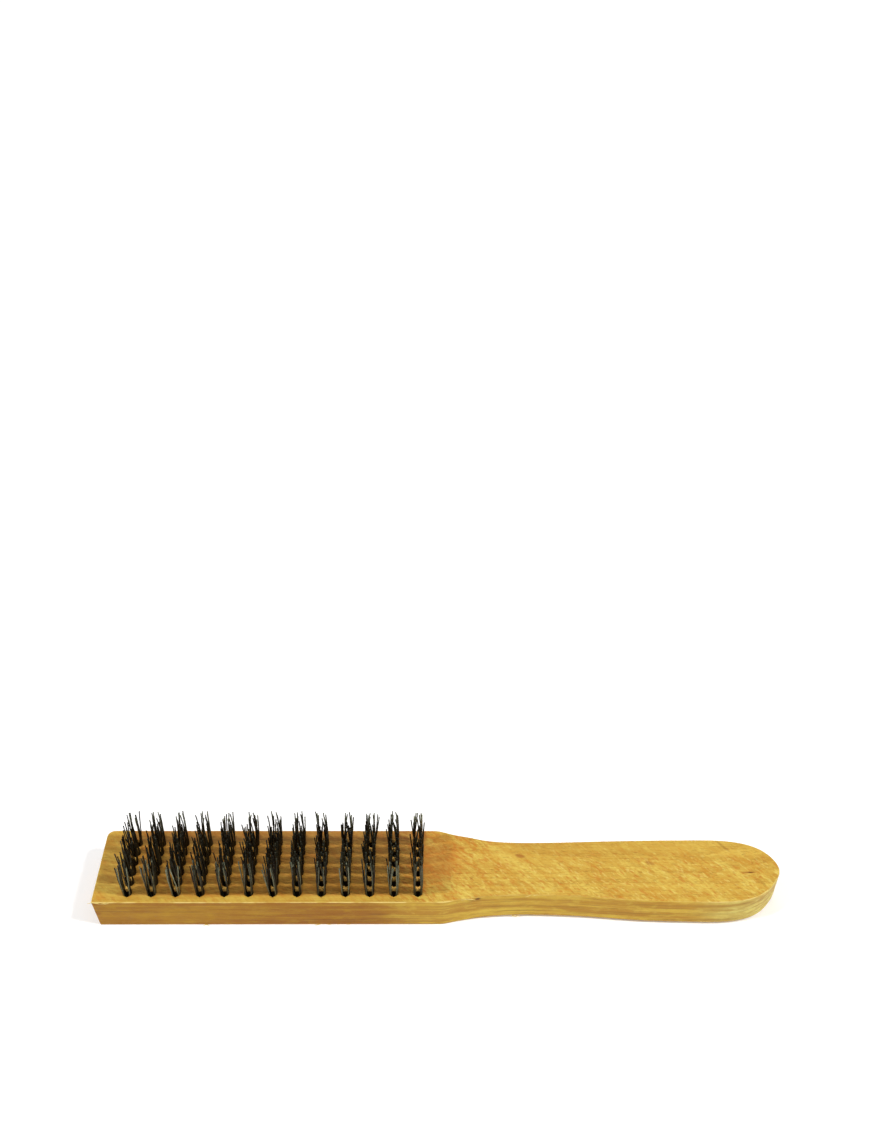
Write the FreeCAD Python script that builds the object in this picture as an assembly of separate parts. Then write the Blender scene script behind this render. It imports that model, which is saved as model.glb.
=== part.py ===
import FreeCAD, Part
import math
import os
import random

# A hand-held steel wire brush, built the way a brush factory builds it.
#
# One hardwood block is both the head and the handle. Its head has a grid of blind holes. Each hole
# holds a tuft of straight steel wires, folded in half over a flat steel anchor that is driven in
# with them and bites into the wood on both sides of the hole.
#
# The brush lies on its flat back with the wires up. Units are millimetres. The origin is on the
# back, in the middle of the brush, +X runs from the head to the handle, and +Z is up.

# Wooden block
LENGTH = 288.0
WIDTH = 36.8
THICKNESS = 15.5
END_UNDERCUT = 1.4  # how far the sawn head end leans in from its top edge to its bottom edge
BACK_CORNER_R = 3.2  # the head's two upright corners
FRONT_CORNER_R = 0.9
EDGE_R = 0.45  # the broken edges of the head and of the whole upper face
GRIP_EDGE_R = 2.3  # the rounded lower edge of the grip
NOSE_Y = -2.3  # the grip's tip lies a little off the middle of the block

# Grid of tufts
COLUMNS = 13
ROWS = 6
COLUMN_PITCH = 10.0
ROW_PITCH = 5.0
FIRST_COLUMN = 14.25  # from the head's end to the first column
FIELD_OFFSET_Y = -1.1  # the grid sits a little off the middle of the head
HOLE_R = 1.9
HOLE_DEPTH = 9.0
DRILL_POINT = math.radians(118.0)
MOUTH_TIP = 2.3  # the mouth's half length, where the anchor has crushed the rim to a point
MOUTH_DEPTH = 1.5

# Flat steel anchors
ANCHOR_THICK = 0.35
ANCHOR_WIDTH = 4.6
ANCHOR_HEIGHT = 2.0
ANCHOR_CHAMFER = 0.5

# Wires
WIRES = 5  # folded wires in a tuft, so twice as many ends
WIRE_R = 0.25
WIRE_PITCH = 0.55  # from one wire to the next along the anchor
GAP = 0.01  # clearance between a wire and what it lies against
TRIM = 18.6  # height of the cut ends above the wood
TRIM_SPREAD = 0.7
FAN = 0.75  # how far a tuft's outermost wires lean out along the anchor, at their ends
RIM_BEND = 0.3  # height of the bend above the hole's rim
BEND_REACH = 0.7  # length that a bend takes up on each side of its corner
END_GAP = 1.7  # least distance between the two ends of one wire
STRAY_SHARE = {-1: 0.09, 1: 0.04}  # share of ends that stand well clear, towards -X and +X

X_HEAD = -LENGTH / 2
X_TIP = LENGTH / 2
Y_BACK = WIDTH / 2
Y_FRONT = -WIDTH / 2
TOP = THICKNESS
BACK_SHOULDER_X = -3.0  # where the head's straight sides end
FRONT_SHOULDER_X = -1.0
BACK_WAIST_X = 21.5  # where the grip begins
FRONT_WAIST_X = 18.5
FOLD_R = ANCHOR_THICK / 2 + GAP + WIRE_R
FOLD_Z = TOP - HOLE_DEPTH + GAP + WIRE_R + FOLD_R
HALF_FIELD = (WIRES - 1) / 2 * WIRE_PITCH


def vec(x, y, z=0.0):
    return FreeCAD.Vector(x, y, z)


def spline(points, start, end):
    """A smooth curve through points, which leaves and arrives along the given directions."""
    curve = Part.BSplineCurve()
    curve.interpolate(Points=points, InitialTangent=start, FinalTangent=end)
    return curve.toShape()


def block_outline():
    """The block from above: a straight head, two hollow shoulders and a grip with a round nose."""
    along_back, along_front = vec(1, -0.13), vec(-1, -0.06)
    back_shoulder, back_waist = vec(BACK_SHOULDER_X, Y_BACK), vec(BACK_WAIST_X, 12.85)
    front_shoulder, front_waist = vec(FRONT_SHOULDER_X, Y_FRONT), vec(FRONT_WAIST_X, -15.5)
    back_slope = [back_shoulder, vec(4.3, 16.75), vec(13, 14.7), back_waist]
    front_slope = [front_waist, vec(12, -16.3), vec(5, -17.5), front_shoulder]
    back_grip = [back_waist, vec(41, 12), vec(68, 12.7), vec(110, 13.4), vec(127.5, 12.4)]
    nose = [vec(136.5, 9.4), vec(141.9, 4.5), vec(X_TIP, NOSE_Y), vec(141.4, -7.6), vec(133, -15.1)]
    front_grip = [vec(124, -17.8), vec(107, -18.35), vec(82, -17.5), vec(62, -15.8), vec(42, -14.9)]
    grip = back_grip + nose + front_grip + [front_waist]
    front_corner, back_corner = vec(X_HEAD, Y_FRONT), vec(X_HEAD, Y_BACK)
    return Part.Wire(
        [
            Part.LineSegment(back_corner, back_shoulder).toShape(),
            spline(back_slope, vec(1, 0), along_back),
            spline(grip, along_back, along_front),
            spline(front_slope, along_front, vec(-1, 0)),
            Part.LineSegment(front_shoulder, front_corner).toShape(),
            Part.LineSegment(front_corner, back_corner).toShape(),
        ]
    )


def head_end_wedge():
    """What the slanted saw cut takes off the head's end."""
    y = Y_FRONT - 1
    corners = [
        vec(X_HEAD, y, TOP),
        vec(X_HEAD + END_UNDERCUT, y, 0),
        vec(X_HEAD - 1, y, 0),
        vec(X_HEAD - 1, y, TOP),
    ]
    return Part.Face(Part.makePolygon(corners + corners[:1])).extrude(vec(0, WIDTH + 2))


def rounded(shape, radii):
    """shape with fillets, where radii gives each edge's radius at its start and at its end."""
    document = FreeCAD.newDocument("rounding")
    base = document.addObject("Part::Feature", "base")
    base.Shape = shape
    fillet = document.addObject("Part::Fillet", "fillet")
    fillet.Base = base
    fillet.Edges = [(number, start, end) for number, (start, end) in sorted(radii.items())]
    document.recompute()
    result = fillet.Shape.copy()
    FreeCAD.closeDocument(document.Name)
    if result.isNull() or not result.isValid():
        raise RuntimeError("the block's edges could not be rounded")
    return result


def lies_at(edge, z):
    return all(abs(point.z - z) < 1e-6 for point in edge.discretize(5))


def head_corner_radii(block):
    radii = {}
    for number, edge in enumerate(block.Edges, 1):
        middle = edge.discretize(3)[1]
        upright = not lies_at(edge, 0) and not lies_at(edge, TOP)
        if upright and middle.x < X_HEAD + END_UNDERCUT:
            r = BACK_CORNER_R if middle.y > 0 else FRONT_CORNER_R
            radii[number] = (r, r)
    return radii


def lower_radius(x):
    """The lower edge is barely broken on the head, and opens over the shoulders to the grip."""
    share = (x - FRONT_SHOULDER_X) / (FRONT_WAIST_X - FRONT_SHOULDER_X)
    return EDGE_R + (GRIP_EDGE_R - EDGE_R) * min(max(share, 0.0), 1.0)


def rim_radii(block):
    radii = {}
    for number, edge in enumerate(block.Edges, 1):
        if lies_at(edge, TOP):
            radii[number] = (EDGE_R, EDGE_R)
        elif lies_at(edge, 0):
            first, last = edge.valueAt(edge.FirstParameter), edge.valueAt(edge.LastParameter)
            radii[number] = (lower_radius(first.x), lower_radius(last.x))
    return radii


def tuft_centres(column):
    """Where one column's tufts leave the wood, from the front row to the back row."""
    x = X_HEAD + FIRST_COLUMN + column * COLUMN_PITCH
    for row in range(ROWS):
        yield vec(x, FIELD_OFFSET_Y + (row - (ROWS - 1) / 2) * ROW_PITCH, TOP)


def hole(centre):
    """A blind drilled hole, with the cone that the drill's point leaves."""
    floor = centre - vec(0, 0, HOLE_DEPTH)
    depth = HOLE_R / math.tan(DRILL_POINT / 2)
    bore = Part.makeCylinder(HOLE_R, HOLE_DEPTH + 1, floor)
    point = Part.makeCone(0, HOLE_R, depth, floor - vec(0, 0, depth))
    return bore.fuse(point).removeSplitter()


def mouth(centre):
    """What the anchor crushes off the rim, front and back, as it is driven in across the hole."""
    inside_x, inside_y = 0.8 * HOLE_R, 0.55 * HOLE_R
    sections = []
    for height in (0.5, -MOUTH_DEPTH):
        tip = MOUTH_TIP + (MOUTH_TIP - 0.95 * HOLE_R) * height / MOUTH_DEPTH
        half = [(0, tip), (inside_x, inside_y), (inside_x, -inside_y)]
        outline = half + [(-x, -y) for x, y in half]
        points = [centre + vec(x, y, height) for x, y in outline]
        sections.append(Part.makePolygon(points + points[:1]))
    return Part.makeLoft(sections, True, True)


def anchor(centre):
    """A flat piece of steel across the hole. Its lower corners are clipped, to drive in."""
    half, low, high, clip = ANCHOR_WIDTH / 2, FOLD_Z, FOLD_Z + ANCHOR_HEIGHT, ANCHOR_CHAMFER
    outline = [
        (-half, low + clip),
        (-half + clip, low),
        (half - clip, low),
        (half, low + clip),
        (half, high),
        (-half, high),
    ]
    points = [vec(centre.x - ANCHOR_THICK / 2, centre.y + y, z) for y, z in outline]
    return Part.Face(Part.makePolygon(points + points[:1])).extrude(vec(ANCHOR_THICK, 0))


def handle_block():
    sawn = Part.Face(block_outline()).extrude(vec(0, 0, THICKNESS)).cut(head_end_wedge())
    cornered = rounded(sawn, head_corner_radii(sawn))
    shaped = rounded(cornered, rim_radii(cornered))
    centres = [centre for column in range(COLUMNS) for centre in tuft_centres(column)]
    return shaped.cut([make(centre) for make in (hole, mouth, anchor) for centre in centres])


def bend(before, corner, after):
    """The arc that rounds off a corner between two straight runs."""
    into, out = (corner - before).normalize(), (after - corner).normalize()
    reach = min(BEND_REACH, 0.45 * (corner - before).Length, 0.45 * (after - corner).Length)
    start, end = corner - into * reach, corner + out * reach
    half_turn = into.getAngle(out) / 2
    radius = reach / math.tan(half_turn)
    inward = ((start + end) * 0.5 - corner).normalize()
    middle = corner + inward * (radius / math.cos(half_turn) - radius)
    return start, Part.Arc(start, middle, end).toShape(), end


def bent_path(points):
    """Straight runs through points, joined by arcs."""
    edges, last = [], points[0]
    for before, corner, after in zip(points, points[1:], points[2:]):
        start, arc, end = bend(before, corner, after)
        edges += [Part.LineSegment(last, start).toShape(), arc]
        last = end
    return edges + [Part.LineSegment(last, points[-1]).toShape()]


def reaches(draw, spreads):
    """How far a folded wire's two ends stand out on their own sides. They never cross."""
    left, right = (spread + draw.uniform(-1.6, 1.0) for spread in spreads)
    short = max(END_GAP - left - right, 0.0)
    return left + short / 2, right + short / 2


def leg(draw, side, y, lean, reach):
    """One leg of a folded wire, from the fold up to its cut end, about its tuft's own axis."""
    height = TRIM + draw.uniform(-TRIM_SPREAD, TRIM_SPREAD)
    bow = side * draw.uniform(0.05, 0.3)
    if draw.random() < STRAY_SHARE[side]:
        reach = draw.uniform(2.5, 3.4)
        height += draw.uniform(0.0, 0.9)
        bow *= 0.3
    tip_y = y + FAN * y / HALF_FIELD + draw.uniform(-0.1, 0.1)
    tip = vec(side * reach, tip_y, TOP + height) + lean
    rim = vec(side * math.sqrt((HOLE_R - GAP - WIRE_R) ** 2 - y * y), y, TOP + RIM_BEND)
    knee = rim + (tip - rim) * draw.uniform(0.35, 0.6) + vec(bow, 0)
    fold = vec(side * FOLD_R, y, FOLD_Z)
    return [fold, fold + vec(0, 0, ANCHOR_HEIGHT), rim, knee, tip]


def folded_wire(centre, y, left, right):
    """One wire, swept along a leg, the fold under the anchor and the other leg."""
    shift = vec(centre.x, centre.y)
    left, right = [point + shift for point in left], [point + shift for point in right]
    lowest = shift + vec(0, y, FOLD_Z - FOLD_R)
    fold = Part.Arc(left[0], lowest, right[0]).toShape()
    path = Part.Wire(bent_path(left[::-1]) + [fold] + bent_path(right))
    circle = Part.makeCircle(WIRE_R, left[-1], left[-2] - left[-1])
    return path.makePipe(Part.Face(Part.Wire(circle)))


def tuft(draw, centre):
    """The wires of one hole. Their legs part over the anchor and lean on the rim on either side."""
    lean = vec(draw.uniform(-0.3, 0.3), draw.uniform(-0.12, 0.12))
    spreads = draw.uniform(1.1, 1.55), draw.uniform(1.1, 1.55)
    wires = []
    for index in range(WIRES):
        y = index * WIRE_PITCH - HALF_FIELD
        left_reach, right_reach = reaches(draw, spreads)
        left = leg(draw, -1, y, lean, left_reach)
        right = leg(draw, 1, y, lean, right_reach)
        wires.append(folded_wire(centre, y, left, right))
    return wires


def export(name, solids):
    shape = solids[0] if len(solids) == 1 else Part.makeCompound(solids)
    shape.exportStep(os.path.join("parts", name + ".step"))
    print(f"{name}: {len(solids)} solids, {shape.Volume:.1f} mm3, valid {shape.isValid()}")


def main():
    os.makedirs("parts", exist_ok=True)
    export("handle_block", handle_block().Solids)
    for column in range(COLUMNS):
        draw = random.Random(column + 1)
        centres = list(tuft_centres(column))
        export(f"anchors_column_{column + 1:02d}", [anchor(centre) for centre in centres])
        wires = [wire for centre in centres for wire in tuft(draw, centre)]
        export(f"tufts_column_{column + 1:02d}", wires)


main()
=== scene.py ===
"""Looks for the wire brush: procedural hardwood and steel, and every wire of every tuft."""
import math
import random

import bpy
import numpy as np
from mathutils import Matrix, Vector


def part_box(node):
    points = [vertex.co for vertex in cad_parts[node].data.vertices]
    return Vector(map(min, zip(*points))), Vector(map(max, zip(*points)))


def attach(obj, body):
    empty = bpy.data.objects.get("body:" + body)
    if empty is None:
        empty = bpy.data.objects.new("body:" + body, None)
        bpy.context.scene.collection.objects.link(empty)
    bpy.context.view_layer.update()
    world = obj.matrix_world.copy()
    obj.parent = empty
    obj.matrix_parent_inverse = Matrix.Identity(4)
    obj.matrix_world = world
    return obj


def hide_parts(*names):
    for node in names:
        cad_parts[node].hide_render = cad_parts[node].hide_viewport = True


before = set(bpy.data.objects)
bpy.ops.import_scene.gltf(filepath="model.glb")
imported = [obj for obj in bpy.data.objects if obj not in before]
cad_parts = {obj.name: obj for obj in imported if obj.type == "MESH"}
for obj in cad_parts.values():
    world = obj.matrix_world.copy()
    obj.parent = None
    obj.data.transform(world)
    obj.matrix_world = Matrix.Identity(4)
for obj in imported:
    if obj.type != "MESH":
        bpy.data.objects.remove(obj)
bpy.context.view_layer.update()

MM = 0.001

# The grid of tufts, in millimetres, placed by the anchors, one of which stands in each hole.
COLUMNS = sum(name.startswith("anchors_column_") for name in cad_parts)
ROWS = 6
ROW_PITCH = 5.0
ANCHOR_HEIGHT = 2.0
FIRST_LOW, FIRST_HIGH = (np.array(corner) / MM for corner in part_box("anchors_column_01"))
LAST_LOW, LAST_HIGH = (np.array(corner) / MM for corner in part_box(f"anchors_column_{COLUMNS:02d}"))
X_FIRST = (FIRST_LOW[0] + FIRST_HIGH[0]) / 2
X_LAST = (LAST_LOW[0] + LAST_HIGH[0]) / 2
COLUMN_PITCH = (X_LAST - X_FIRST) / (COLUMNS - 1)
Y_MIDDLE = (FIRST_LOW[1] + FIRST_HIGH[1]) / 2
Y_FIRST = Y_MIDDLE - (ROWS - 1) / 2 * ROW_PITCH
Y_LAST = Y_MIDDLE + (ROWS - 1) / 2 * ROW_PITCH
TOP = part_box("handle_block")[1][2] / MM
FOLD_Z = FIRST_LOW[2]

# Wires, in millimetres, except for the shares of ends that stray or are kinked
WIRES = 5
WIRE_R = 0.25
WIRE_PITCH = 0.55
HALF_FIELD = (WIRES - 1) / 2 * WIRE_PITCH
HOLE_R = 1.9
FOLD_R = 0.435
TRIM = 18.6
TRIM_SPREAD = 0.7
FAN = 0.75
END_GAP = 1.7
STRAY_SHARE = {-1: 0.09, 1: 0.04}
STRAY_REACH = (2.5, 3.4)
KINKED_SHARE = 0.08
FARTHEST_TIP = 4.6
SIDES = 8


def rgb(r, g, b):
    """A colour given as it looks on a screen, from 0 to 255."""
    linear = ((c / 255 / 12.92) if c < 11 else ((c / 255 + 0.055) / 1.055) ** 2.4 for c in (r, g, b))
    return (*linear, 1.0)


# Growth rings in millimetres, and the turn of the grip's figure in degrees
RING_WIDTH = 2.9
PITH = (0, 34.0, -120.0)
FIGURE_TURN = -43

# Colours of the wood. A tint is a factor for red, green and blue.
PALE_BAND = rgb(211, 183, 82)
RED_BAND = rgb(189, 134, 42)
PALE_FLECK = rgb(225, 206, 112)
RED_FLECK = rgb(184, 110, 32)
SIDE_BAND = rgb(170, 116, 34)
SIDE_LINE = rgb(126, 80, 22)
# Tint of the upright faces: partly their own colour, partly painted light for how the lamps fall on
# them.
SIDE_COLOUR_AND_LIGHT_TINT = (1.13, 1.18, 0.87, 1)
HEAD_SIDE_TINT = (0.7, 0.55, 0.2, 1)
# Painted light: the nose's upright faces brightened as if a stronger lamp fell on them from the right.
NOSE_LIGHT_TINT = (1.05, 1.29, 2.7, 1)
# Browner, redder wood among the tufts: partly its own colour, partly painted warm shade bounced among
# the tufts.
FIELD_STAIN_AND_SHADE_TINT = (0.9, 0.73, 0.7, 1)
# Painted shadow: the tufts' shade on the wood behind the last row.
BACK_SHADOW_TINT = (0.76, 0.72, 0.8, 1)
# Dark stain round the holes' mouths, also used as painted shade deep in the holes.
HOLE_STAIN_AND_SHADE = rgb(48, 30, 9)
# Pale fresh wood, also used as painted light where the wires shade the wood between a column's holes
# and at the holes' mouths.
RAW_WOOD_AND_LIGHT = rgb(250, 198, 102)
# Pale worn wood; along the upper edge it is partly a painted highlight.
WORN = rgb(232, 212, 130)
DARK = rgb(88, 50, 14)
RUST = rgb(140, 66, 18)
BROWN = rgb(130, 82, 26)

# Single marks on the wood: middle and half size in millimetres, turn in degrees, strength, colour
MARKS = (
    ((34.0, 4.9, TOP), (3.2, 1.3, 2.0), -14, 0.6, RUST),
    ((89.2, 1.2, TOP), (2.8, 1.2, 2.0), -20, 0.5, RUST),
    ((99.4, 0.7, TOP), (2.0, 0.8, 2.0), -5, 0.25, BROWN),
    ((130.5, -3.6, TOP), (4.5, 0.7, 2.0), 2, 0.6, RUST),
    ((131.2, -3.6, TOP), (1.5, 0.45, 2.0), 2, 0.7, DARK),
    ((122.0, 10.2, TOP), (6.2, 0.9, 2.0), -51, 0.4, BROWN),
    # These two brown patches darken the head's left end.
    ((-139.0, -7.0, TOP), (7.0, 4.0, 2.0), -8, 0.45, BROWN),
    ((-139.0, 3.0, TOP), (11.0, 19.0, 2.0), 0, 0.24, BROWN),
    ((-2.0, 2.0, TOP), (15.0, 17.0, 2.0), -25, 0.6, RED_FLECK),
    ((15.1, -15.9, TOP - 1.2), (1.5, 1.6, 0.95), 0, 0.95, DARK),
    ((14.0, -16.0, TOP - 1.5), (4.5, 2.0, 1.9), 0, 0.4, BROWN),
    ((-26.5, -18.4, 7.4), (6.5, 2.0, 0.4), 0, 0.7, DARK),
)

# Torn places along the front edges: x from, x to, y, z, count
SPLINTERS = (
    (-143.3, -136.0, -18.4, TOP - 0.35, 6),
    (-99.0, -96.0, -18.4, 0.25, 3),
    (-51.0, -38.5, -18.4, 0.25, 6),
    (9.5, 12.5, -16.75, TOP - 0.35, 4),
    (30.0, 32.0, -14.9, 0.9, 3),
    (37.0, 39.0, -14.85, TOP - 0.35, 2),
)

# Lamps, all aimed at the brush: name, place and size in metres, power in watts
LAMPS = (
    ("left", (-1.75, -0.42, 2.4), (0.28, 0.24), 36),
    ("right", (1.75, -0.42, 2.4), (0.28, 0.24), 47),
    ("front", (0.0, -1.5, 2.6), (0.4, 0.4), 14),
    ("background", (0.0, 2.2, 1.5), (1.6, 1.0), 14),
)
WORLD_LIGHT = 0.3
FLOOR_GLOW = 0.09

# The camera's place in millimetres, its turns in degrees, and its lens for a 36 mm sensor
CAMERA_PLACE = (-12.74, -308.04, 431.26)
CAMERA_YAW = 1.425
CAMERA_TILT = 39.223
CAMERA_ROLL = 1.167
SENSOR_WIDTH = 36
LENS = 37.65


class Shader:
    """A material's node tree. All but put() add nodes and return what comes out of them."""

    def __init__(self, name):
        self.material = bpy.data.materials.new(name)
        self.material.use_nodes = True
        self.tree = self.material.node_tree
        self.surface = self.tree.nodes["Principled BSDF"]

    def put(self, socket, value):
        if isinstance(value, bpy.types.NodeSocket):
            self.tree.links.new(value, socket)
        else:
            socket.default_value = value

    def node(self, kind, inputs, output=0, **settings):
        node = self.tree.nodes.new(kind)
        for key, value in settings.items():
            setattr(node, key, value)
        for key, value in inputs.items():
            self.put(node.inputs[key], value)
        return node.outputs[output]

    def math(self, operation, *values):
        return self.node("ShaderNodeMath", dict(enumerate(values)), operation=operation)

    def vector(self, operation, *values, output=0):
        return self.node("ShaderNodeVectorMath", dict(enumerate(values)), output, operation=operation)

    def split(self, vector):
        node = self.tree.nodes.new("ShaderNodeSeparateXYZ")
        self.put(node.inputs[0], vector)
        return node.outputs

    def join(self, x, y, z):
        return self.node("ShaderNodeCombineXYZ", {0: x, 1: y, 2: z})

    def millimetres(self):
        place = self.tree.nodes.new("ShaderNodeTexCoord").outputs["Object"]
        return self.vector("MULTIPLY", place, (1 / MM,) * 3)

    def turned(self, place, angle):
        """place in axes turned about Z, by an angle in degrees."""
        inputs = {"Vector": place, "Rotation": (0, 0, math.radians(angle))}
        return self.node("ShaderNodeMapping", inputs, vector_type="TEXTURE")

    def spot(self, place, middle, half_size, angle):
        """1 in the middle of an ellipsoid, falling smoothly to 0 at its surface."""
        inputs = {"Vector": place, "Location": middle, "Scale": half_size}
        inputs["Rotation"] = (0, 0, math.radians(angle))
        inside = self.node("ShaderNodeMapping", inputs, vector_type="TEXTURE")
        return self.step(self.vector("LENGTH", inside, output=1), 1.0, 0.3)

    def noise(self, place, scale, detail=2.0, roughness=0.5, distortion=0.0):
        """Noise about 0.5, where scale gives its grains per millimetre along each axis."""
        inputs = {"Scale": 1.0, "Detail": detail, "Roughness": roughness, "Distortion": distortion}
        inputs["Vector"] = self.vector("MULTIPLY", place, scale)
        return self.node("ShaderNodeTexNoise", inputs)

    def step(self, value, low, high, start=0.0, end=1.0):
        """A smooth step from start, where value is low, to end, where it is high."""
        inputs = {0: value, 1: low, 2: high, 3: start, 4: end}
        return self.node("ShaderNodeMapRange", inputs, interpolation_type="SMOOTHSTEP")

    def mix(self, share, first, second, blend="MIX"):
        node = self.tree.nodes.new("ShaderNodeMix")
        node.data_type = "RGBA"
        node.blend_type = blend
        for name, value in (("Factor_Float", share), ("A_Color", first), ("B_Color", second)):
            socket = next(s for s in node.inputs if s.identifier == name)
            self.put(socket, value)
        return next(s for s in node.outputs if s.identifier == "Result_Color")

    def bump(self, height, distance):
        return self.node("ShaderNodeBump", {"Height": height, "Distance": distance, "Strength": 1.0})


def late_wood(s, place):
    """The dark part of each growth ring, round a pith that lies below and behind the board."""
    warp = s.noise(place, (0.006, 0.02, 0.02), 2.0)
    radial = s.vector("SUBTRACT", s.vector("MULTIPLY", place, (0, 1, 1)), PITH)
    ring = s.math("MULTIPLY_ADD", warp, 16.0, s.vector("LENGTH", radial, output=1))
    phase = s.math("FRACT", s.math("DIVIDE", ring, RING_WIDTH))
    return s.math("MULTIPLY", s.step(phase, 0.45, 0.93), s.step(phase, 1.0, 0.95))


def cross_figure(s, place, colour, top):
    """Slanting bands and flecks on the upper face, liveliest at the shoulders and the grip's front."""
    x, y, _ = s.split(place)[:]
    slant = s.turned(place, FIGURE_TURN)
    band = s.noise(slant, (0.035, 0.22, 0.22), 2.0, 0.55, 0.4)
    fleck = s.noise(slant, (0.3, 1.0, 1.0), 3.0, 0.6, 0.5)
    grit = s.noise(place, (0.55, 1.5, 1.5), 3.0, 0.65)
    figure = s.math("MULTIPLY_ADD", band, 0.42, s.math("MULTIPLY", fleck, 0.34))
    figure = s.math("MULTIPLY_ADD", grit, 0.24, figure)
    shoulder = s.step(x, 45.0, 12.0)
    lively = s.math("MAXIMUM", s.step(y, 10.0, -2.0, 0.4, 0.9), s.math("MULTIPLY", shoulder, 0.95))
    lively = s.math("MULTIPLY", s.math("MULTIPLY", lively, s.step(x, -25.0, -9.0, 0.45, 1.0)), top)
    colour = s.mix(s.math("MULTIPLY", s.step(figure, 0.5, 0.61), lively), colour, PALE_BAND)
    colour = s.mix(s.math("MULTIPLY", s.step(figure, 0.5, 0.39), lively), colour, RED_BAND)
    pale = s.noise(slant, (0.36, 0.95, 0.95), 2.5, 0.55)
    red = s.noise(s.vector("ADD", slant, (50, 20, 10)), (0.32, 0.85, 0.85), 2.5, 0.55)
    pale_share = s.step(pale, 0.54, 0.7, 0.0, s.step(x, 0.0, 35.0, 0.3, 0.5))
    colour = s.mix(s.math("MULTIPLY", pale_share, lively), colour, PALE_FLECK)
    red_from, red_full = s.step(x, 35.0, 0.0, 0.54, 0.48), s.step(x, 35.0, 0.0, 0.7, 0.62)
    red_share = s.step(red, red_from, red_full, 0.0, 0.65)
    colour = s.mix(s.math("MULTIPLY", red_share, lively), colour, RED_FLECK)
    return colour, figure


def side_grain_and_light(s, place, x, colour, side):
    """Level bands and thin dark lines on the upright faces, darkest on the head, under a tint that is
    partly painted light, with painted light brightening the nose.
    """
    broad = s.noise(place, (0.012, 0.1, 0.3), 3.0, 0.55)
    thin = s.noise(place, (0.018, 0.35, 1.9), 3.0, 0.6)
    mottle = s.noise(place, (0.16, 0.3, 0.4), 4.0, 0.65)
    colour = s.mix(s.math("MULTIPLY", s.step(broad, 0.58, 0.4, 0.0, 0.75), side), colour, SIDE_BAND)
    colour = s.mix(s.math("MULTIPLY", s.step(mottle, 0.5, 0.66, 0.0, 0.35), side), colour, PALE_BAND)
    colour = s.mix(s.math("MULTIPLY", s.step(mottle, 0.5, 0.34, 0.0, 0.4), side), colour, SIDE_BAND)
    colour = s.mix(s.math("MULTIPLY", s.step(thin, 0.54, 0.7, 0.0, 0.6), side), colour, SIDE_LINE)
    # Partly painted light: the upright faces tinted for how the lamps light them, partly their own
    # colour.
    colour = s.mix(side, colour, s.mix(1.0, colour, SIDE_COLOUR_AND_LIGHT_TINT, "MULTIPLY"))
    head = s.math("MULTIPLY", s.step(x, -8.0, -34.0), side)
    colour = s.mix(head, colour, s.mix(1.0, colour, HEAD_SIDE_TINT, "MULTIPLY"))
    # Painted light: the nose's upright faces brightened.
    nose_light = s.math("MULTIPLY", s.step(x, 100.0, 125.0), side)
    return s.mix(nose_light, colour, s.mix(1.0, colour, NOSE_LIGHT_TINT, "MULTIPLY"))


def tuft_field_light_and_shade(s, x, y, z, colour):
    """Browner wood among the tufts, partly painted warm shade; painted shadow behind the last row;
    paler wood between a column's holes, partly painted light; hole walls with painted light at the
    mouth and painted shade deeper down.
    """
    middle_x, half_x = (X_FIRST + X_LAST) / 2, (X_LAST - X_FIRST) / 2
    away_x = s.math("SUBTRACT", s.math("ABSOLUTE", s.math("SUBTRACT", x, middle_x)), half_x)
    in_x, in_y = s.step(away_x, 5.0, 2.0), s.step(y, Y_FIRST - 2.2, Y_FIRST - 0.6)
    field = s.math("MULTIPLY", s.math("MULTIPLY", in_x, in_y), s.step(z, TOP - 0.6, TOP - 0.2))
    # Partly painted warm shade: the wood among the tufts browned and reddened.
    colour = s.mix(field, colour, s.mix(1.0, colour, FIELD_STAIN_AND_SHADE_TINT, "MULTIPLY"))
    # Painted shadow: the wood behind the last row darkened as if the tufts shaded it.
    back_shadow = s.math("MULTIPLY", s.step(y, Y_LAST + 0.5, Y_LAST + 2.2), field)
    colour = s.mix(back_shadow, colour, s.mix(1.0, colour, BACK_SHADOW_TINT, "MULTIPLY"))
    column = s.math("WRAP", s.math("SUBTRACT", x, X_FIRST), COLUMN_PITCH / 2, -COLUMN_PITCH / 2)
    row = s.math("WRAP", s.math("SUBTRACT", y, Y_FIRST), ROW_PITCH / 2, -ROW_PITCH / 2)
    distance = s.vector("LENGTH", s.join(column, row, 0.0), output=1)
    away_y = s.math("SUBTRACT", s.math("ABSOLUTE", s.math("SUBTRACT", y, Y_MIDDLE)), Y_LAST - Y_MIDDLE)
    # Paler wood between a column's holes: partly fresh wood, partly painted light where the wires shade
    # it.
    bridge_wood_and_light = s.math("MULTIPLY", s.step(s.math("ABSOLUTE", column), 1.3, 0.9, 0.0, 0.7), field)
    colour = s.mix(s.math("MULTIPLY", bridge_wood_and_light, s.step(away_y, 0.1, -0.1)), colour, RAW_WOOD_AND_LIGHT)
    in_y = s.step(away_y, 2.6, 2.4)
    near = s.math("MULTIPLY", s.math("MULTIPLY", in_y, s.step(away_x, 4.1, 3.9)), s.step(z, 4.0, 6.0))
    ring = s.math("MULTIPLY", s.step(distance, 2.3, 1.9, 0.0, 0.4), near)
    colour = s.mix(ring, colour, HOLE_STAIN_AND_SHADE)
    below = s.math("MULTIPLY", s.step(distance, 2.5, 2.4), s.step(z, TOP, TOP - 0.1))
    below = s.math("MULTIPLY", below, near)
    # Hole walls: pale at the mouth, partly painted light, and darker deeper down, painted shade.
    wall_light_and_shade = s.mix(s.step(z, TOP - 1.2, TOP - 1.9), RAW_WOOD_AND_LIGHT, HOLE_STAIN_AND_SHADE)
    return s.mix(below, colour, wall_light_and_shade)


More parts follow.
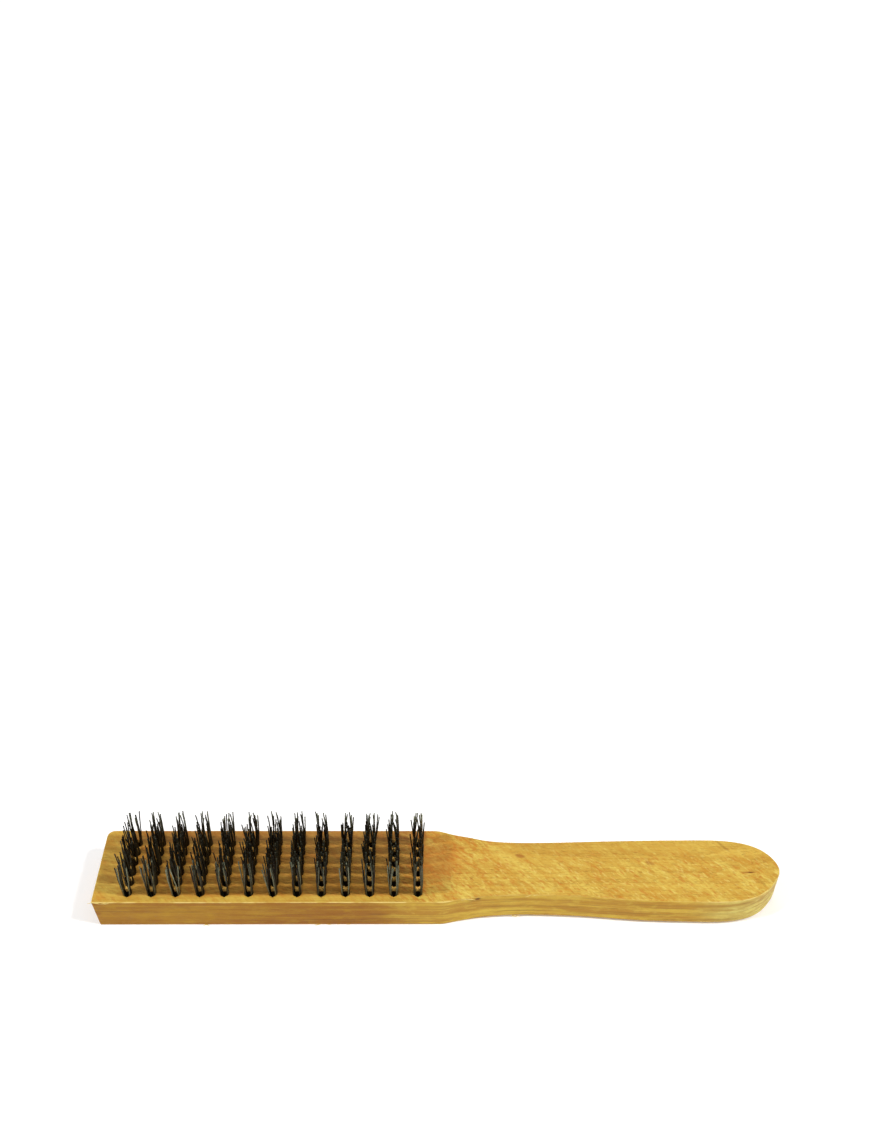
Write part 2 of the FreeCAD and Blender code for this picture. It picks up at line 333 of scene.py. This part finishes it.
def edge_wear_and_highlight(s, place, x, z, face_up, colour):
    """Pale, rubbed wood along the broken upper edge, faint on the grip; partly a painted highlight
    where the rounded edge catches light.
    """
    edge = s.math("MULTIPLY", s.step(face_up, 0.1, 0.4), s.step(face_up, 0.99, 0.9))
    edge = s.math("MULTIPLY", edge, s.step(z, TOP - 1.2, TOP - 0.6))
    rubbed = s.step(s.noise(place, (0.11, 0.3, 0.3), 3.0, 0.6), 0.4, 0.62, 0.15, 0.8)
    amount = s.math("MAXIMUM", s.step(x, 20.0, 5.0, 0.4, 1.0), s.step(x, 95.0, 120.0, 0.0, 0.8))
    # Partly painted highlight: the rounded upper edge paler as if it caught the light.
    return s.mix(s.math("MULTIPLY", s.math("MULTIPLY", edge, rubbed), amount), colour, WORN)


def wood_material():
    s = Shader("hardwood")
    place = s.millimetres()
    x, y, z = s.split(place)[:]
    normal = s.tree.nodes.new("ShaderNodeNewGeometry").outputs["Normal"]
    face_up = s.split(normal)[2]
    top = s.step(face_up, 0.6, 0.95)
    side = s.step(s.math("ABSOLUTE", face_up), 0.7, 0.25)

    fibre = s.noise(place, (0.03, 2.2, 2.2), 4.0, 0.6)
    streak = s.noise(place, (0.012, 0.45, 0.45), 3.0, 0.55)
    cloud = s.noise(place, (0.018, 0.06, 0.06), 3.0, 0.5)
    pore = s.step(s.noise(place, (0.35, 5.5, 5.5), 1.0, 0.4), 0.66, 0.74)
    colour = s.mix(s.step(cloud, 0.3, 0.7), rgb(195, 156, 61), rgb(206, 170, 71))
    colour = s.mix(s.math("MULTIPLY", late_wood(s, place), 0.3), colour, rgb(163, 109, 28))
    colour = s.mix(s.step(streak, 0.42, 0.72, 0.0, 0.45), colour, rgb(174, 123, 34))
    colour, figure = cross_figure(s, place, colour, top)
    colour = s.mix(s.step(fibre, 0.4, 0.75, 0.0, 0.28), colour, rgb(157, 105, 27))
    colour = s.mix(s.math("MULTIPLY", pore, 0.4), colour, rgb(129, 82, 21))
    colour = side_grain_and_light(s, place, x, colour, side)
    colour = tuft_field_light_and_shade(s, x, y, z, colour)
    for middle, half_size, turn, share, shade in MARKS:
        spot = s.spot(place, middle, half_size, turn)
        colour = s.mix(s.math("MULTIPLY", spot, share), colour, shade)
    colour = edge_wear_and_highlight(s, place, x, z, face_up, colour)

    s.put(s.surface.inputs["Base Color"], colour)
    s.put(s.surface.inputs["Roughness"], s.math("MULTIPLY_ADD", fibre, 0.2, 0.42))
    s.surface.inputs["Specular IOR Level"].default_value = 0.2
    relief = s.math("SUBTRACT", s.math("MULTIPLY", fibre, 0.6), s.math("MULTIPLY", pore, 0.5))
    relief = s.math("MULTIPLY_ADD", figure, 1.3, relief)
    s.put(s.surface.inputs["Normal"], s.bump(relief, 0.12 * MM))
    return s.material


def splinter_material():
    s = Shader("torn_wood")
    place = s.millimetres()
    fibre = s.noise(place, (0.3, 5.0, 5.0), 3.0, 0.6)
    s.put(s.surface.inputs["Base Color"], s.mix(fibre, rgb(206, 176, 92), WORN))
    s.put(s.surface.inputs["Roughness"], s.math("MULTIPLY_ADD", fibre, 0.2, 0.55))
    s.surface.inputs["Specular IOR Level"].default_value = 0.2
    s.put(s.surface.inputs["Normal"], s.bump(fibre, 0.04 * MM))
    return s.material


def wire_material():
    s = Shader("tempered_wire")
    place = s.millimetres()
    tone_and_light = s.node("ShaderNodeAttribute", {}, "Fac", attribute_name="tone_and_light")
    drawn = s.noise(place, (9.0, 9.0, 0.6), 2.0, 0.5)
    spots = s.noise(place, (1.6, 1.6, 0.8), 3.0, 0.6)
    # The tone runs from dark to grey-green, partly the wire's own colour and partly painted light.
    colour = s.mix(tone_and_light, rgb(26, 21, 15), rgb(138, 142, 117))
    colour = s.mix(s.step(spots, 0.5, 0.72, 0.0, 0.6), colour, rgb(44, 32, 22))
    s.put(s.surface.inputs["Base Color"], colour)
    s.surface.inputs["Metallic"].default_value = 0.8
    s.surface.inputs["Specular IOR Level"].default_value = 0.3
    rough = s.math("MULTIPLY_ADD", drawn, 0.25, 0.25)
    s.put(s.surface.inputs["Roughness"], s.math("MULTIPLY_ADD", spots, 0.15, rough))
    s.put(s.surface.inputs["Normal"], s.bump(drawn, 0.01 * MM))
    return s.material


def anchor_material():
    s = Shader("anchor_steel")
    place = s.millimetres()
    drawn = s.noise(place, (6.0, 0.5, 6.0), 2.0, 0.5)
    s.put(s.surface.inputs["Base Color"], s.mix(drawn, rgb(120, 120, 116), rgb(168, 168, 162)))
    s.surface.inputs["Metallic"].default_value = 1.0
    s.put(s.surface.inputs["Roughness"], s.math("MULTIPLY_ADD", drawn, 0.3, 0.25))
    s.put(s.surface.inputs["Normal"], s.bump(drawn, 0.01 * MM))
    return s.material


def floor_material():
    s = Shader("paper_floor")
    grain = s.noise(s.millimetres(), (0.3, 0.3, 0.3), 3.0, 0.6)
    s.put(s.surface.inputs["Base Color"], s.mix(grain, (0.93, 0.93, 0.93, 1), (0.95, 0.95, 0.95, 1)))
    s.surface.inputs["Roughness"].default_value = 0.9
    s.surface.inputs["Emission Color"].default_value = (1, 1, 1, 1)
    s.surface.inputs["Emission Strength"].default_value = FLOOR_GLOW
    return s.material


def softened(points, times):
    """The points' polygon with its corners cut, which keeps its two ends."""
    for _ in range(times):
        near, far = points[:-1] * 0.75 + points[1:] * 0.25, points[:-1] * 0.25 + points[1:] * 0.75
        inner = np.stack([near, far], 1).reshape(-1, 3)
        points = np.vstack([points[:1], inner[1:-1], points[-1:]])
    return points


def reaches(draw, spreads):
    """How far a folded wire's two ends stand out on their own sides. They never cross."""
    left, right = (spread + draw.uniform(-1.6, 1.0) for spread in spreads)
    short = max(END_GAP - left - right, 0.0)
    return left + short / 2, right + short / 2


def leg(draw, side, y, lean, reach):
    """One leg of a folded wire, from the fold up to its cut end, about its tuft's own axis."""
    height = TRIM + draw.uniform(-TRIM_SPREAD, TRIM_SPREAD)
    bow = side * draw.uniform(0.05, 0.3)
    if draw.random() < STRAY_SHARE[side]:
        reach = draw.uniform(*STRAY_REACH)
        height += draw.uniform(0.0, 0.9)
        bow *= 0.3
    tip_y = y + FAN * y / HALF_FIELD + draw.uniform(-0.1, 0.1)
    tip = np.array([side * reach, tip_y, TOP + height]) + lean
    rim = np.array([side * math.sqrt((HOLE_R - 0.01 - WIRE_R) ** 2 - y * y), y, TOP + 0.3])
    knee = rim + (tip - rim) * draw.uniform(0.35, 0.6) + [bow, 0, 0]
    fold = np.array([side * FOLD_R, y, FOLD_Z])
    return [fold, fold + [0, 0, ANCHOR_HEIGHT], rim, knee, tip]


def bent(shape, points):
    """The leg's free length, with the slight waves and the kinked end that use has given it."""
    fold, neck, rim, knee, tip = points
    out = []
    for low, high, count in ((rim, knee, 3), (knee, tip, 4)):
        for i in range(count):
            out.append(low + (high - low) * (i / count))
    wave = [np.array([shape.gauss(0, 0.035), shape.gauss(0, 0.015), 0]) for _ in out]
    out = [out[0]] + [p + w for p, w in zip(out[1:], wave[1:])]
    if shape.random() < KINKED_SHARE:
        turn = np.array([shape.uniform(-0.5, 0.5), shape.uniform(-0.12, 0.12), -0.05])
        tip = tip + turn * (1 if abs(tip[0] + turn[0]) < FARTHEST_TIP else -1)
    return [fold, neck, neck + (rim - neck) * 0.6] + out + [tip]


def tube(path, radius, slant):
    """Vertices and faces of a wire along path. Its two cut ends are flat and slightly slanted."""
    ahead = np.gradient(path, axis=0)
    ahead /= np.linalg.norm(ahead, axis=1)[:, None]
    first = np.cross(ahead, [0.0, 1.0, 0.0])
    first /= np.linalg.norm(first, axis=1)[:, None]
    second = np.cross(ahead, first)
    angles = np.arange(SIDES) * 2 * math.pi / SIDES
    cosine, sine = np.cos(angles)[None, :, None], np.sin(angles)[None, :, None]
    circle = cosine * first[:, None] + sine * second[:, None]
    rings = path[:, None] + radius * circle
    for end, amount in ((0, slant[0]), (-1, slant[1])):
        rings[end] += ahead[end] * (np.cos(angles) * amount * radius)[:, None]
    count = len(path)
    quads = []
    for i in range(count - 1):
        for j in range(SIDES):
            k = (j + 1) % SIDES
            quads.append((i * SIDES + j, i * SIDES + k, (i + 1) * SIDES + k, (i + 1) * SIDES + j))
    caps = [tuple(reversed(range(SIDES))), tuple(range((count - 1) * SIDES, count * SIDES))]
    return rings.reshape(-1, 3), quads, caps


def tuft_mesh(column):
    """All the wires of one column of tufts, as one mesh with a tone for each wire, partly random and
    partly painted light: the front row lighter, the rows behind darker.
    """
    draw, shape = random.Random(column + 1), random.Random(1000 + column)
    vertices, faces, flat, tones_and_light = [], [], [], []
    for row in range(ROWS):
        centre = np.array([X_FIRST + column * COLUMN_PITCH, Y_FIRST + row * ROW_PITCH, 0.0])
        lean = np.array([draw.uniform(-0.3, 0.3), draw.uniform(-0.12, 0.12), 0.0])
        spreads = draw.uniform(1.1, 1.55), draw.uniform(1.1, 1.55)
        for index in range(WIRES):
            y = index * WIRE_PITCH - HALF_FIELD
            reach = reaches(draw, spreads)
            left = bent(shape, leg(draw, -1, y, lean, reach[0]))
            right = bent(shape, leg(draw, 1, y, lean, reach[1]))
            turn = [math.pi * (1 + i / 6) for i in range(1, 6)]
            fold = [np.array([FOLD_R * math.cos(a), y, FOLD_Z + FOLD_R * math.sin(a)]) for a in turn]
            ends = [softened(np.array(side), 2) for side in (left, right)]
            path = np.vstack([ends[0][::-1], fold, ends[1]]) + centre
            slant = shape.uniform(-0.5, 0.5), shape.uniform(-0.5, 0.5)
            points, quads, caps = tube(path, WIRE_R, slant)
            start = sum(len(v) for v in vertices)
            vertices.append(points)
            faces += [tuple(start + i for i in face) for face in quads + caps]
            flat += [False] * len(quads) + [True] * len(caps)
            # Painted light and shade: the front row's wires lighter, the rows behind darker, on top of
            # a random tone for each wire.
            tone_and_light = shape.betavariate(0.6, 0.9) * (0.95 if row == 0 else 0.25)
            # The back row's wires grow paler towards their tips.
            tip_paling = shape.random() if row == ROWS - 1 else 0.0
            height = np.clip((points[:, 2] - TOP - 9.0) / 8.0, 0.0, 1.0)
            tones_and_light += (tone_and_light + tip_paling * height).tolist()
    name = f"wires_column_{column + 1:02d}"
    mesh = bpy.data.meshes.new(name)
    mesh.from_pydata((np.vstack(vertices) * MM).tolist(), [], faces)
    mesh.polygons.foreach_set("use_smooth", [not f for f in flat])
    mesh.attributes.new("tone_and_light", "FLOAT", "POINT").data.foreach_set("value", tones_and_light)
    mesh.update()
    return mesh


def splinters_mesh():
    """Thin slivers of torn wood along the block's front edges, each a closed blade."""
    draw = random.Random(5)
    vertices, faces = [], []
    for x_low, x_high, y, z, count in SPLINTERS:
        for _ in range(count):
            length, width = draw.uniform(1.2, 3.2), draw.uniform(0.18, 0.4)
            root = np.array([draw.uniform(x_low, x_high), y + 0.35, z])
            along = draw.choice((-1, 1)) * draw.uniform(0.75, 1.0)
            ahead = np.array([along, -draw.uniform(0.2, 0.4), 0.0])
            lift = np.array([0, 0, draw.uniform(0.0, 0.12)])
            across, thick = np.array([0, -width, 0]), np.array([0, 0, 0.14])
            middle = root + ahead * length * 0.5 + lift
            tip = root + ahead * length + lift * 2
            outline = [root, root + across, middle + across * 0.8, tip, middle]
            if along > 0:
                outline.reverse()  # so that this blade's faces look outwards too
            start = len(vertices)
            vertices += [p - thick / 2 for p in outline] + [p + thick / 2 for p in outline]
            faces.append(tuple(start + i for i in range(5)))
            faces.append(tuple(start + 5 + i for i in reversed(range(5))))
            for i in range(5):
                j = (i + 1) % 5
                faces.append((start + i, start + i + 5, start + j + 5, start + j))
    mesh = bpy.data.meshes.new("splinters")
    mesh.from_pydata((np.array(vertices) * MM).tolist(), [], faces)
    mesh.update()
    return mesh


def add(name, mesh, material):
    piece = bpy.data.objects.new(name, mesh)
    bpy.context.collection.objects.link(piece)
    mesh.materials.append(material)
    return piece


def give(node, material):
    node.data.materials.clear()
    node.data.materials.append(material)


def add_floor():
    half = 4.0
    square = (-half, -half), (half, -half), (half, half), (-half, half)
    corners = [(x, y, -0.05 * MM) for x, y in square]
    mesh = bpy.data.meshes.new("floor")
    mesh.from_pydata(corners, [], [(0, 1, 2, 3)])
    add("floor", mesh, floor_material())


def add_camera():
    yaw, tilt, roll = (math.radians(angle) for angle in (CAMERA_YAW, CAMERA_TILT, CAMERA_ROLL))
    forward = Vector((math.sin(yaw), math.cos(yaw), 0))
    level = Vector((math.cos(yaw), -math.sin(yaw), 0))
    ahead = forward * math.cos(tilt) - Vector((0, 0, math.sin(tilt)))
    raised = forward * math.sin(tilt) + Vector((0, 0, math.cos(tilt)))
    right = level * math.cos(roll) + raised * math.sin(roll)
    up = raised * math.cos(roll) - level * math.sin(roll)
    turn = Matrix((right, up, -ahead)).transposed().to_4x4()
    data = bpy.data.cameras.new("camera")
    data.sensor_width = SENSOR_WIDTH
    data.lens = LENS
    data.clip_start = 0.01
    camera = bpy.data.objects.new("camera", data)
    camera.matrix_world = Matrix.Translation(Vector(CAMERA_PLACE) * MM) @ turn
    bpy.context.collection.objects.link(camera)
    bpy.context.scene.camera = camera


def add_softbox(name, place, size, power):
    data = bpy.data.lights.new(name, "AREA")
    data.shape = "RECTANGLE"
    data.size, data.size_y = size
    data.energy = power
    lamp = bpy.data.objects.new(name, data)
    lamp.location = place
    aim = Vector((0, 0, 0.02)) - Vector(place)
    lamp.rotation_euler = aim.to_track_quat("-Z", "Y").to_euler()
    bpy.context.collection.objects.link(lamp)


def add_lights():
    world = bpy.data.worlds.new("studio")
    world.use_nodes = True
    background = world.node_tree.nodes["Background"]
    background.inputs["Color"].default_value = (1, 1, 1, 1)
    background.inputs["Strength"].default_value = WORLD_LIGHT
    bpy.context.scene.world = world
    for name, place, size, power in LAMPS:
        add_softbox(name, place, size, power)


def main():
    wood, wire, steel = wood_material(), wire_material(), anchor_material()
    for name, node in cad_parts.items():
        if name.startswith("anchors"):
            give(node, steel)
    give(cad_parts["handle_block"], wood)
    for column in range(COLUMNS):
        mesh = tuft_mesh(column)
        piece = add(mesh.name, mesh, wire)
        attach(piece, "root")
        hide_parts(f"tufts_column_{column + 1:02d}")
    splinters = add("splinters", splinters_mesh(), splinter_material())
    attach(splinters, "root")
    add_floor()
    add_camera()
    add_lights()
    bpy.context.scene.view_settings.view_transform = "Standard"


main()
